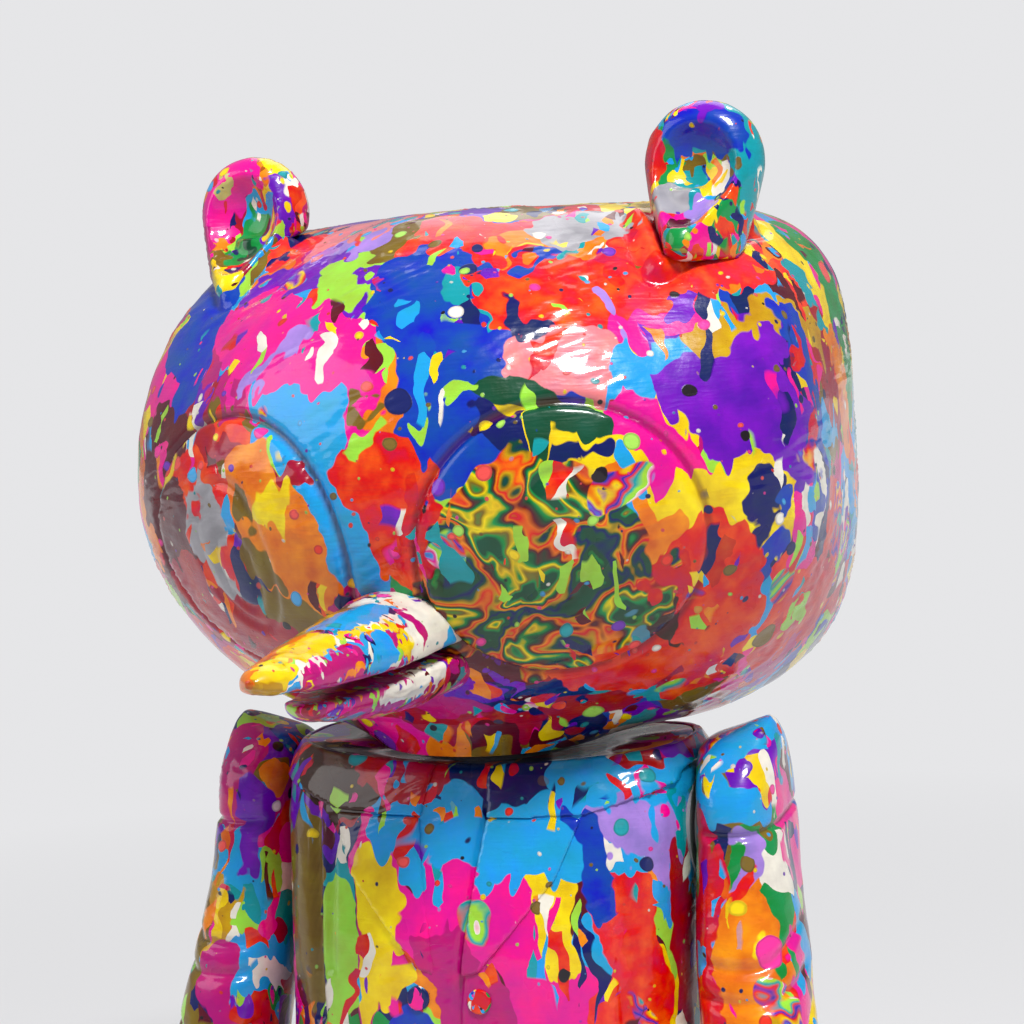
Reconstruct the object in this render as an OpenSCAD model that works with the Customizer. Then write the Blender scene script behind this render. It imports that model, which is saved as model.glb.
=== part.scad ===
// Vinyl art toy with a turning head, swinging sleeves and turning fists.
// The toy faces -Y, its left side is +X, and it stands on z = 0.

/* [Head] */
// Half the head's width at its widest point
head_half_w = 57.2; // [52:0.2:60]
// Reach of the face in front of the neck axis
head_front = 44.3; // [42:0.1:48]
// Reach of the back of the head behind the neck axis
head_back = 42.7; // [40:0.1:46]
// Half the head's height
head_half_h = 43.1; // [41:0.1:44]
// Height of the head's centre above the ground
head_z = 148.5; // [148:0.5:154]
// Wall of the hollow head
head_wall = 2.6; // [2:0.2:3.4]

/* [Ears and beak] */
// Mean distance of the ears' centres from the middle of the head
ear_x = 38.2; // [34:0.2:43]
// Mean height of the ears' centres above the head's centre
ear_z = 45.4; // [43:0.2:50]
// Radius of an ear's disc
ear_r = 9.4; // [7:0.2:11]
// Reach of the upper beak's tip in front of the neck axis
beak_reach = 83; // [72:1:90]
// Reach of the lower beak's tip in front of the neck axis
lower_beak_reach = 70.5; // [62:0.5:76]

/* [Jacket] */
// Height of the jacket's hem
hem_z = 40; // [34:1:44]
// Height of the flat top that the head turns on
collar_z = 105; // [104:0.2:105]
// Wall of the hollow jacket
jacket_wall = 2.6; // [2:0.2:3.2]
// Height of the shoulder axis
shoulder_z = 93; // [90:0.5:94]
// Distance of the sleeves' inner faces from the middle
sleeve_inner_x = 34.4; // [34.3:0.1:34.8]

/* [Legs and feet] */
// Distance of each leg's axis from the middle
leg_x = 15; // [14:0.5:17]
// Radius of a trouser leg at its top
leg_r = 13.2; // [11:0.2:13.6]
// Length of a shoe
shoe_len = 41; // [34:1:46]
// Width of a shoe
shoe_w = 26; // [22:1:28]
// Thickness of the outsole
sole_t = 2.2; // [1.4:0.2:3]

/* [Joints] */
// Running clearance of every swivel, on the radius
play = 0.05; // [0.02:0.01:0.08]
// Radius of the neck stem
neck_r = 8; // [6:0.5:9]
// Radius of a shoulder stem
shoulder_r = 5; // [4:0.5:6]
// Radius of a wrist stem
wrist_r = 3; // [2.6:0.2:3.6]

/* [Hidden] */

// Gap between glued or plugged pieces, on the radius
glue_gap = 0.1;
// Film of glue under the buttons
glue_film = 0.02;

// Head: points round it, rings down it, and the exponents of its sections, front and back
head_sides = 60;
head_rings = 20;
plan_exp = [2, 6.2];
top_exp = [1.87, 6.2];
under_exp = [1.8, 3.8];
pole_exp = 2.4;
// Where the face ends and the boxy back begins, as a sine of the angle round the neck axis
face_end = 0.6;
// How much the keels that low exponents leave are rounded off
soft = 0.12;
crown_angle = 4;
under_angle = 150;
neck_hole_r = 17;
rim_t = 2;
rim_z = -head_half_h + 1.5;
rim_h = 3.8;

// Ears and beak, measured from the head's centre
ear_y = -1;
// How much farther out and higher the left ear sits than the mean, and the right one less, as fitted by hand
ear_skew = [1.4, 1.2];
ear_fold_r = 4.2;
ear_root_r = 6.4;
ear_dish_r = 8;
ear_toe_r = 2.2;
plug_r = 3;
plug_len = 14;
upper_plug_z = -17.5;
lower_plug_z = -25.8;
// Flattens the two sides of the mouth that face each other
mouth_exp = 0.45;
// Reach, middle height, half width, half height above and below the middle
upper_beak_stations = [
    [26, -19.4, 10, 7.6, 2], [38, -19.6, 9, 7.3, 1.8], [48, -20, 8.4, 6.8, 1.8],
    [58, -19.8, 7.4, 5.8, 2], [68, -19.4, 5.8, 4.4, 2], [76, -18.8, 4.1, 3, 1.7],
    [beak_reach - 1.6, -18.4, 2.2, 1.6, 1.2], [beak_reach, -18.2, 0.6, 0.5, 0.5]
];
lower_beak_stations = [
    [26, -24.4, 9.6, 2.2, 5.4], [36, -24.2, 8.8, 2.1, 5.4], [46, -24.3, 7.8, 1.9, 5],
    [56, -24.3, 6, 1.1, 3.6], [64, -24.1, 4, 0.7, 2.4],
    [lower_beak_reach - 1.2, -23.8, 2, 0.5, 1.3], [lower_beak_reach, -23.7, 0.5, 0.2, 0.4]
];
// Puts the middle of the toy, from beak to back, on the origin
fore_aft = (beak_reach - head_point(90, 90, 0)[1]) / 2;

// Neck swivel
ring_z = head_z + rim_z + 0.3;
ring_t = 3.6;
neck_plate_r = 14;
cap_t = 2.4;
end_gap = 0.15;

// Shoulder swivels, measured along X
socket_x = [30.4, 34];
socket_r = 9;
flange_r = 8;
flange_t = 1.9;
stub_r = 4;
stub_x = 40.8;

// Wrist swivels
cuff_z = 47;
cuff_axis = [45.4, -15.2];
bush_r = 6;
bush_t = 5;
pocket_t = 3;
fist_z = 39.6;

// Jacket: height, half width and half depth of the outside from hem to neck
jacket_sides = 56;
jacket_exp = 3.2;
yoke_z = 106.8;
jacket_stations = [
    [hem_z, 35.6, 29.6], [46, 34.9, 28.8], [56, 34, 27.8], [68, 33.4, 27],
    [80, 33.4, 25.8], [90, 33.8, 23.4], [97, 33.8, 20.8], [101.4, 33.8, 18.4],
    [104, 33, 16.6], [yoke_z, 31.6, 13.6]
];
// Dish in the jacket's top that the head's underside turns in: radius at its bottom and top, and depth
dish_r = [16, 35];
dish_h = 2.1;
trim_t = 1.3;
lapel = [[5.5, 97.6], [20.5, 98], [17, 89.2], [10.7, 81.8], [4.9, 75.3], [2, 74.5]];
collar_front = [[5.5, 97.8], [20.5, 98.2], [33, 101.6], [33, 103.4], [34, 103.4], [34, 110], [3.5, 110]];
collar_back = [[-33, 95], [33, 95], [33, 103.4], [34, 103.4], [34, 110], [-34, 110], [-34, 103.4], [-33, 103.4]];
button_r = 1.9;
button_t = 1.2;
button_x = 5;
button_z = [52, 61.5, 71];

// Sleeve: height, inner and outer X, middle Y, half depth
sleeve_sides = 36;
sleeve_exp = 2.6;
sleeve_stations = [
    [shoulder_z + 17, 44.6, 45.5, 0, 0.9],
    [109.4, 42.9, 46, 0, 2.6],
    [108.6, 40.9, 46.4, 0, 4.2],
    [107.8, 38.6, 46.7, 0, 5.4],
    [107, 36.2, 47, -0.1, 6.4],
    [105.8, sleeve_inner_x + 0.3, 47.2, -0.1, 8],
    [103.8, sleeve_inner_x, 47.3, -0.1, 10.2],
    [101, sleeve_inner_x, 47.4, -0.2, 12.2],
    [94, sleeve_inner_x, 47.8, -0.6, 13.2],
    [86, sleeve_inner_x, 48.8, -3, 12.6],
    [76, sleeve_inner_x + 0.4, 50.6, -7, 11.6],
    [66, 36, 52.4, -10.8, 11],
    [56, 37, 53.4, -13.6, 10.2],
    [cuff_z, 37.4, 53.4, -15.2, 9.6]
];

// Legs, shoes and the weight
plate_z = 44;
plate_t = 3;
tenon_r = 6;
ankle_z = 12;
ankle_r = 11.6;
turn_up = [17.6, 22.4];
shoe_r = shoe_w / 2;
toe_y = -(shoe_len - shoe_w) + shoe_r / 2;
heel_y = toe_y + shoe_len - shoe_w;
shoe_z = 4.2;
ballast_r = 16;
ballast_h = 14;

// Distance out and height of an ear's centre; s is 1 for the left ear and -1 for the right.
function ear_at(s) = [ear_x, ear_z] + s * ear_skew;
function smooth(t) = t * t * (3 - 2 * t);
function lerp(a, b, t) = a + (b - a) * t;
function clamp(t) = max(0, min(1, t));
function sum(list, i = 0) = i < len(list) ? list[i] + sum(list, i + 1) : 0;
function middle(points) = [for (k = [0:2]) sum([for (p = points) p[k]]) / len(points)];
function soft_abs(q) = sqrt(q * q + soft * soft);
function super_r(p, q, a, b, e) = pow(pow(soft_abs(p) / a, e) + pow(soft_abs(q) / b, e), -1 / e);

// Outline of a rounded box: half width w, half depth d, exponent e.
function oval(w, d, e, sides) = [
    for (i = [0:sides - 1])
        let (
            a = 360 * i / sides,
            r = pow(pow(abs(cos(a)) / w, e) + pow(abs(sin(a)) / d, e), -1 / e)
        )
        [r * cos(a), r * sin(a)]
];
function ring(outline, z, shift = [0, 0]) = [for (p = outline) [p[0] + shift[0], p[1] + shift[1], z]];

// A point of the head's skin: a is the angle round the neck axis, b the angle down from the crown.
function head_point(a, b, inset) =
    let (
        back = smooth(clamp((sin(a) + face_end) / (1 + face_end))),
        high = smooth(clamp((cos(b) + 0.35) / 0.7)),
        plan = lerp(plan_exp[0], plan_exp[1], back),
        under = lerp(under_exp[0], under_exp[1], back),
        top = lerp(top_exp[0], top_exp[1], back),
        depth = lerp(head_front, head_back, back),
        r = super_r(cos(a), sin(a), head_half_w, depth, plan) - inset,
        away = smooth(clamp(sin(b) / 0.6)),
        k = super_r(sin(b), cos(b), 1, 1, lerp(pole_exp, lerp(under, top, high), away))
    )
    [r * k * sin(b) * cos(a), r * k * sin(b) * sin(a), (head_half_h - inset) * k * cos(b)];
function head_ring(i, inset) =
    let (b = lerp(crown_angle, under_angle, i / head_rings))
    [for (k = [0:head_sides - 1]) head_point(360 * k / head_sides, b, inset)];
function round_ring(r, z) = ring(oval(r, r, 2, head_sides), z);
function jacket_ring(i, grow, z) =
    ring(oval(jacket_stations[i][1] + grow, jacket_stations[i][2] + grow, jacket_exp, jacket_sides), z);

// Closed skin over rings listed from the top down; a fan of triangles closes each end.
module skin(rings) {
    n = len(rings[0]);
    rows = len(rings);
    points = concat([for (r = rings) each r], [middle(rings[0]), middle(rings[rows - 1])]);
    walls = [
        for (r = [0:rows - 2], i = [0:n - 1])
            let (a = r * n + i, b = r * n + (i + 1) % n)
            each [[a, b, b + n], [a, b + n, a + n]]
    ];
    ends = [
        for (i = [0:n - 1])
            let (j = (i + 1) % n, last = (rows - 1) * n)
            each [[rows * n, j, i], [rows * n + 1, last + i, last + j]]
    ];
    polyhedron(points, concat(walls, ends), convexity = 6);
}

module place() {
    translate([0, fore_aft, 0]) children();
}

module on_head() {
    place() translate([0, 0, head_z]) children();
}

// s is 1 for the toy's left side and -1 for its right side.
module side(s) {
    mirror([s < 0 ? 1 : 0, 0, 0]) children();
}

// Makes one mesh of a free-form piece and its cuts.
module cast() {
    resize([0, 0, 0]) children();
}

module along_x(x) {
    translate([x, 0, shoulder_z]) rotate([0, 90, 0]) children();
}

module head_solid() {
    skin([for (i = [0:head_rings]) head_ring(i, 0)]);
}

module ear_plug(s, r) {
    at = ear_at(s);
    translate([at[0] - 1.5, ear_y - 3.5, at[1] - 18]) cylinder(r = r, h = plug_len, $fn = 32);
}

module beak_plug(r, z) {
    translate([0, -28 - plug_len, z]) rotate([-90, 0, 0]) cylinder(r = r, h = plug_len, $fn = 32);
}

module head_shell() {
    outer = [for (i = [0:head_rings]) head_ring(i, 0)];
    rim = [
        round_ring(neck_hole_r + rim_t, rim_z), round_ring(neck_hole_r, rim_z),
        round_ring(neck_hole_r, rim_z + rim_h)
    ];
    inner = [for (i = [head_rings:-1:0]) head_ring(i, head_wall)];
    color("mediumvioletred") on_head() cast() difference() {
        skin(concat(outer, rim, inner));
        for (s = [-1, 1]) side(s) ear_plug(s, plug_r + glue_gap);
        for (z = [upper_plug_z, lower_plug_z]) beak_plug(plug_r + glue_gap, z);
    }
}

// A rounded paddle whose scooped front narrows to a toe on the crown.
module ear(s) {
    at = ear_at(s);
    color("deeppink") on_head() side(s) cast() union() {
        difference() {
            hull() {
                translate([at[0], ear_y, at[1]]) rotate([90, 0, 0]) rotate_extrude($fn = 40)
                    translate([ear_r - ear_fold_r, 0]) circle(r = ear_fold_r, $fn = 24);
                translate([at[0] - 0.5, ear_y - 3.5, at[1] - 15]) cylinder(r = ear_root_r, h = 3, $fn = 32);
                translate([at[0] - 1, ear_y - 12.8, at[1] - 12.5]) sphere(r = ear_toe_r, $fn = 24);
            }
            hull() {
                translate([at[0], ear_y - ear_dish_r - 1.8, at[1] + 0.6]) sphere(r = ear_dish_r, $fn = 40);
                translate([at[0] - 0.6, ear_y - 12, at[1] - 6.4]) sphere(r = 3.6, $fn = 24);
            }
            head_solid();
        }
        ear_plug(s, plug_r);
    }
}

module left_ear() {
    ear(1);
}

module right_ear() {
    ear(-1);
}

// A mandible runs from a root that follows the face to a rounded tip; mouth is 1 if its upper side faces
// the other mandible and -1 if its lower side does.
module mandible(stations, plug_z, mouth) {
    rings = [
        for (s = stations) [
            for (i = [0:31])
                let (
                    a = -360 * i / 32,
                    up = sin(a) > 0,
                    bulge = pow(abs(sin(a)), up == (mouth > 0) ? mouth_exp : 1)
                )
                [s[2] * cos(a), -s[0], s[1] + (up ? s[3] : -s[4]) * bulge]
        ]
    ];
    on_head() cast() union() {
        difference() {
            skin(rings);
            head_solid();
        }
        beak_plug(plug_r, plug_z);
    }
}

module upper_beak() {
    color("gold") mandible(upper_beak_stations, upper_plug_z, -1);
}

module lower_beak() {
    color("hotpink") mandible(lower_beak_stations, lower_plug_z, 1);
}

// Hard ring glued into the neck opening; it turns on the neck stem.
module neck_socket() {
    color("dimgray") place() translate([0, 0, ring_z]) difference() {
        cylinder(r = neck_hole_r - glue_gap, h = ring_t, $fn = 64);
        translate([0, 0, -1]) cylinder(r = neck_r + play, h = ring_t + 2, $fn = 64);
    }
}

// Flanged peg in the jacket's top; its cap keeps the head on.
module neck_peg() {
    cap_z = ring_z + ring_t + end_gap;
    color("dimgray") place() union() {
        translate([0, 0, collar_z - jacket_wall])
            cylinder(r = neck_plate_r - glue_gap, h = jacket_wall, $fn = 64);
        translate([0, 0, collar_z - 1]) cylinder(r = neck_r, h = cap_z - collar_z + 2, $fn = 64);
        translate([0, 0, cap_z]) cylinder(r = neck_r + 3, h = cap_t, $fn = 64);
    }
}

module jacket_solid(grow = 0) {
    last = len(jacket_stations) - 1;
    skin([for (i = [last:-1:0]) jacket_ring(i, grow, jacket_stations[i][0])]);
}

module jacket_hollow() {
    last = len(jacket_stations) - 1;
    ceiling = collar_z - jacket_wall;
    skin(concat(
        [for (i = [last:-1:0]) jacket_ring(i, -jacket_wall, min(jacket_stations[i][0], ceiling))],
        [jacket_ring(0, -jacket_wall, hem_z - 1)]
    ));
}

module head_dish() {
    translate([0, 0, collar_z]) cylinder(r1 = dish_r[0], r2 = dish_r[1], h = dish_h, $fn = 64);
}

module jacket_body() {
    color("royalblue") place() cast() difference() {
        jacket_solid();
        jacket_hollow();
        head_dish();
        translate([0, 0, collar_z - 10]) cylinder(r = neck_plate_r, h = 20, $fn = 64);
        for (s = [-1, 1]) side(s) along_x(socket_x[0] - 6)
            cylinder(r = socket_r + glue_gap, h = 16, $fn = 48);
    }
}

// A thin skin that lies on the jacket, inside the region that its child cuts out.
module trim() {
    cast() intersection() {
        difference() {
            jacket_solid(trim_t);
            jacket_solid();
        }
        children();
    }
}

module front_panel(outline) {
    rotate([90, 0, 0]) linear_extrude(60) polygon(outline);
}

module back_panel(outline) {
    translate([0, 60, 0]) front_panel(outline);
}

module collar() {
    color("dodgerblue") place() trim() intersection() {
        union() {
            for (s = [-1, 1]) side(s) front_panel(collar_front);
            back_panel(collar_back);
        }
        difference() {
            translate([-40, -60, 0]) cube([80, 120, yoke_z]);
            cylinder(r = neck_plate_r + 1, h = 200, $fn = 64);
            head_dish();
            for (s = [-1, 1]) side(s) along_x(socket_x[0] - 6) cylinder(r = socket_r + 0.4, h = 16, $fn = 48);
        }
    }
}

module left_lapel() {
    color("magenta") place() trim() front_panel(lapel);
}

module right_lapel() {
    color("magenta") place() trim() side(-1) front_panel(lapel);
}

module buttons() {
    color("yellow") place() cast() for (s = [-1, 1], z = button_z) side(s) intersection() {
        difference() {
            jacket_solid(button_t);
            jacket_solid(glue_film);
        }
        translate([button_x, 0, z]) rotate([90, 0, 0]) cylinder(r = button_r, h = 60, $fn = 32);
    }
}

// Hard ring glued into the jacket's side; the shoulder stem turns in it.
module shoulder_socket(s) {
    color("dimgray") place() side(s) along_x(socket_x[0]) difference() {
        cylinder(r = socket_r, h = socket_x[1] - socket_x[0], $fn = 64);
        translate([0, 0, -1]) cylinder(r = shoulder_r + play, h = 10, $fn = 64);
    }
}

module left_shoulder_socket() {
    shoulder_socket(1);
}

module right_shoulder_socket() {
    shoulder_socket(-1);
}

// Peg glued into the sleeve; its cap lies behind the socket.
module shoulder_peg(s) {
    flange_x = sleeve_inner_x + 0.1;
    cap_x = socket_x[0] - end_gap - cap_t;
    color("dimgray") place() side(s) union() {
        along_x(cap_x) cylinder(r = shoulder_r + 1.5, h = cap_t, $fn = 64);
        along_x(cap_x + 1) cylinder(r = shoulder_r, h = flange_x - cap_x, $fn = 64);
        along_x(flange_x) cylinder(r = flange_r, h = flange_t, $fn = 64);
        along_x(flange_x + 1) cylinder(r = stub_r, h = stub_x - flange_x - 1, $fn = 64);
    }
}

module left_shoulder_peg() {
    shoulder_peg(1);
}

module right_shoulder_peg() {
    shoulder_peg(-1);
}

module on_cuff(z) {
    translate([cuff_axis[0], cuff_axis[1], z]) children();
}

module sleeve(s) {
    rings = [
        for (t = sleeve_stations)
            ring(oval((t[2] - t[1]) / 2, t[4], sleeve_exp, sleeve_sides), t[0], [(t[1] + t[2]) / 2, t[3]])
    ];
    color("olive") place() side(s) cast() difference() {
        skin(rings);
        along_x(sleeve_inner_x - 1) cylinder(r = flange_r + glue_gap, h = flange_t + 1.2, $fn = 48);
        along_x(sleeve_inner_x - 1) cylinder(r = stub_r + glue_gap, h = stub_x - sleeve_inner_x + 1.3, $fn = 48);
        on_cuff(cuff_z - 1) cylinder(r = bush_r + glue_gap, h = bush_t + 1, $fn = 48);
        on_cuff(cuff_z) cylinder(r = wrist_r + 2, h = bush_t + pocket_t, $fn = 48);
    }
}

module left_sleeve() {
    sleeve(1);
}

module right_sleeve() {
    sleeve(-1);
}

module cuff_bush(s) {
    color("dimgray") place() side(s) on_cuff(cuff_z) difference() {
        cylinder(r = bush_r, h = bush_t, $fn = 64);
        translate([0, 0, -1]) cylinder(r = wrist_r + play, h = bush_t + 2, $fn = 64);
    }
}

module left_cuff_bush() {
    cuff_bush(1);
}

module right_cuff_bush() {
    cuff_bush(-1);
}

// Fist on a capped stem; everything stays inside the cuff's radius so that it can turn.
module hand(s) {
    color("orange") place() side(s) on_cuff(0) union() {
        hull() {
            translate([0, 1.4, fist_z + 0.6]) sphere(r = 6.6, $fn = 28);
            translate([0, -1.8, fist_z - 0.8]) sphere(r = 6.2, $fn = 28);
        }
        hull() {
            translate([-3.6, -4, fist_z + 2.4]) sphere(r = 2.5, $fn = 28);
            translate([-3, -6.2, fist_z - 2]) sphere(r = 2.2, $fn = 28);
        }
        translate([0, 0, fist_z]) cylinder(r = 6, h = cuff_z - 0.4 - fist_z, $fn = 64);
        translate([0, 0, fist_z]) cylinder(r = wrist_r, h = cuff_z + bush_t + end_gap + 1 - fist_z, $fn = 64);
        translate([0, 0, cuff_z + bush_t + end_gap]) cylinder(r = wrist_r + 1.2, h = 2, $fn = 64);
    }
}

module left_hand() {
    hand(1);
}

module right_hand() {
    hand(-1);
}

// Plate glued into the jacket's bottom; the legs plug into it.
module hip_plate() {
    outline = oval(jacket_stations[1][1] - jacket_wall - 0.4, jacket_stations[1][2] - jacket_wall - 0.4,
        jacket_exp, jacket_sides);
    color("dimgray") place() translate([0, 0, plate_z]) difference() {
        linear_extrude(plate_t) polygon(outline);
        for (s = [-1, 1]) translate([s * leg_x, 0, -1])
            cylinder(r = tenon_r + play, h = plate_t + 2, $fn = 64);
    }
}

module ballast() {
    color("slategray") place() translate([0, 0, plate_z + plate_t]) cylinder(r = ballast_r, h = ballast_h, $fn = 64);
}

module leg(s) {
    color("purple") place() translate([s * leg_x, 0, 0]) rotate_extrude($fn = 64) polygon([
        [0, ankle_z], [ankle_r, ankle_z], [ankle_r, turn_up[0]], [leg_r, turn_up[0]],
        [leg_r, turn_up[1]], [leg_r - 0.8, turn_up[1] + 0.6], [leg_r, plate_z], [tenon_r, plate_z],
        [tenon_r, plate_z + plate_t], [0, plate_z + plate_t]
    ]);
}

module left_leg() {
    leg(1);
}

module right_leg() {
    leg(-1);
}

module shoe(s) {
    color("crimson") place() translate([s * leg_x, 0, 0]) difference() {
        union() {
            translate([0, toe_y, shoe_z]) sphere(r = shoe_r, $fn = 64);
            translate([0, heel_y, shoe_z]) sphere(r = shoe_r, $fn = 64);
            translate([0, heel_y, shoe_z]) rotate([90, 0, 0]) cylinder(r = shoe_r, h = heel_y - toe_y, $fn = 64);
        }
        translate([-50, -50, sole_t - 100]) cube([100, 100, 100]);
        translate([0, 0, ankle_z]) cylinder(r = ankle_r + glue_gap, h = 20, $fn = 64);
    }
}

module left_shoe() {
    shoe(1);
}

module right_shoe() {
    shoe(-1);
}

module sole(s) {
    color("black") place() translate([s * leg_x, 0, 0]) linear_extrude(sole_t) union() {
        translate([0, toe_y]) circle(r = shoe_r, $fn = 64);
        translate([0, heel_y]) circle(r = shoe_r, $fn = 64);
        translate([-shoe_r, toe_y]) square([2 * shoe_r, heel_y - toe_y]);
    }
}

module left_sole() {
    sole(1);
}

module right_sole() {
    sole(-1);
}

head_shell();
left_ear();
right_ear();
upper_beak();
lower_beak();
neck_socket();
neck_peg();
jacket_body();
collar();
left_lapel();
right_lapel();
buttons();
left_shoulder_socket();
right_shoulder_socket();
left_shoulder_peg();
right_shoulder_peg();
left_sleeve();
right_sleeve();
left_cuff_bush();
right_cuff_bush();
left_hand();
right_hand();
hip_plate();
ballast();
left_leg();
right_leg();
left_shoe();
right_shoe();
left_sole();
right_sole();
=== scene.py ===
"""Looks of the painted vinyl toy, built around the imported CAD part. Lengths here are millimetres until
they reach Blender, where they are metres."""

import math

import bpy
import numpy as np
from mathutils import Matrix, Vector, noise


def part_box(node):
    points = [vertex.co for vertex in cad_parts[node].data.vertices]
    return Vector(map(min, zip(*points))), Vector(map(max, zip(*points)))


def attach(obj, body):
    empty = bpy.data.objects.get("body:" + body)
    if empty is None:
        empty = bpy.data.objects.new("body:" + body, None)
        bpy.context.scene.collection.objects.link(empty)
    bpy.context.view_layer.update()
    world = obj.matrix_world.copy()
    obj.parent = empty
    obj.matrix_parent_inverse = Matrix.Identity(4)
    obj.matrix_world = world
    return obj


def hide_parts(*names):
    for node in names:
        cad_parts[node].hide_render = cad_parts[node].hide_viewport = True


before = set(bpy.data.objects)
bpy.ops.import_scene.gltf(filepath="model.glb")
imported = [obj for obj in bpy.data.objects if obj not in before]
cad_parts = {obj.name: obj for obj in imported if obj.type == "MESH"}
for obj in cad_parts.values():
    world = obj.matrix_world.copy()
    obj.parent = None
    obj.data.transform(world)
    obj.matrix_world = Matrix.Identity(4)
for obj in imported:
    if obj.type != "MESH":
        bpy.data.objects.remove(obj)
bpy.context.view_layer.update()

MM = 0.001

# Where the CAD puts things
HEAD_LOW, HEAD_HIGH = (np.array(corner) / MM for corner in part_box("head_shell"))
HALF_W, HALF_H = 57.2, 43.1
FRONT, BACK = 44.3, 42.7
CENTRE = np.array([0.0, HEAD_HIGH[1] - BACK, HEAD_HIGH[2] - HALF_H])
AXIS_Y = CENTRE[1]
HEM_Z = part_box("jacket_body")[0][2] / MM
YOKE_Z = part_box("jacket_body")[1][2] / MM
COLLAR_Z = 105
CUFF_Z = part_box("left_sleeve")[0][2] / MM

# Head sections, as the CAD makes them
PLAN_EXP = (2, 6.2)
TOP_EXP = (1.87, 6.2)
UNDER_EXP = (1.8, 3.8)
POLE_EXP = 2.4
FACE_END = 0.6
SOFT = 0.12
NECK_HOLE = 17
HEAD_WALL = 2.6
UNDER_ANGLE = 150

# Sections of the jacket: height, half-width and half-depth
JACKET = np.array([
    [40, 35.6, 29.6], [46, 34.9, 28.8], [56, 34, 27.8], [68, 33.4, 27], [80, 33.4, 25.8],
    [90, 33.8, 23.4], [97, 33.8, 20.8], [101.4, 33.8, 18.4], [104, 33, 16.6], [106.8, 31.6, 13.6],
])
JACKET_EXP = 3.2
JACKET_WALL = 2.6
YOKE_HOLE = 13.2
# The dish under the head: its inner and outer radius, and its rise between them
DISH_R = (16, 35)
DISH_H = 2.1
# Sections of the left sleeve: height, x of the inner and outer side, y of the middle, half-depth
SLEEVE = np.array([
    [110, 44.6, 45.5, 0, 0.9], [109.4, 42.9, 46, 0, 2.6], [108.6, 40.9, 46.4, 0, 4.2],
    [107.8, 38.6, 46.7, 0, 5.4], [107, 36.2, 47, -0.1, 6.4], [105.8, 34.7, 47.2, -0.1, 8],
    [103.8, 34.4, 47.3, -0.1, 10.2], [101, 34.4, 47.4, -0.2, 12.2], [94, 34.4, 47.8, -0.6, 13.2],
    [86, 34.4, 48.8, -3, 12.6], [76, 34.8, 50.6, -7, 11.6], [66, 36, 52.4, -10.8, 11],
    [56, 37, 53.4, -13.6, 10.2], [47, 37.4, 53.4, -15.2, 9.6],
])
SLEEVE_EXP = 2.6
SLEEVE_MIDDLE = 46
# Sections of the mandibles from the head's centre: reach, height of the middle, half-width, rise and drop
UPPER_BEAK = np.array([
    [26, -19.4, 10, 7.6, 2], [38, -19.6, 9, 7.3, 1.8], [48, -20, 8.4, 6.8, 1.8],
    [58, -19.8, 7.4, 5.8, 2], [68, -19.4, 5.8, 4.4, 2], [76, -18.8, 4.1, 3, 1.7],
    [81.4, -18.4, 2.2, 1.6, 1.2], [83, -18.2, 0.6, 0.5, 0.5],
])
LOWER_BEAK = np.array([
    [26, -24.4, 9.6, 2.2, 5.4], [36, -24.2, 8.8, 2.1, 5.4], [46, -24.3, 7.8, 1.9, 5],
    [56, -24.3, 6, 1.1, 3.6], [64, -24.1, 4, 0.7, 2.4], [69.3, -23.8, 2, 0.5, 1.3],
    [70.5, -23.7, 0.5, 0.2, 0.4],
])
MOUTH_EXP = 0.45
# The ears' centres, from the head's centre
EARS = {"left": np.array([39.6, -1, 46.6]), "right": np.array([-36.8, -1, 44.2])}

COLOURS = {
    "pink": "F0359A", "magenta": "BE1A78", "crimson": "A81430", "red": "D8182C", "scarlet": "EA3420",
    "coral": "F0524E", "orange": "F28418", "yellow": "F6D410", "mustard": "C8981A", "lime": "A6DC58",
    "green": "1C9248", "forest": "0C4A30", "teal": "1E9CA6", "sky": "48A8E4", "steel": "5590A8",
    "royal": "1440B4", "navy": "101C60", "violet": "7430B8", "lavender": "A88AD8", "salmon": "E88A90",
    "olive": "7C6428", "brown": "3E2218", "maroon": "5C1022", "cream": "EFE9DC", "grey": "A4A2A8",
    "black": "180F18",
}


def srgb(name):
    """A colour's linear RGBA."""
    code = COLOURS[name]
    parts = [int(code[i:i + 2], 16) / 255 for i in (0, 2, 4)]
    return [p / 12.92 if p <= 0.04045 else ((p + 0.055) / 1.055) ** 2.4 for p in parts] + [1]


# ---------------------------------------------------------------- shapes

def smooth(t):
    """Eases 0 to 1."""
    return t * t * (3 - 2 * t)


def ramp01(value, low, high):
    """0 at low and 1 at high, eased between; high may be the smaller."""
    return smooth(np.clip((value - low) / (high - low), 0, 1))


def super_r(p, q, a, b, e):
    """Radius of a superellipse with half-sizes a and b in the direction p, q."""
    p, q = np.sqrt(p * p + SOFT * SOFT), np.sqrt(q * q + SOFT * SOFT)
    return ((p / a) ** e + (q / b) ** e) ** (-1 / e)


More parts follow.
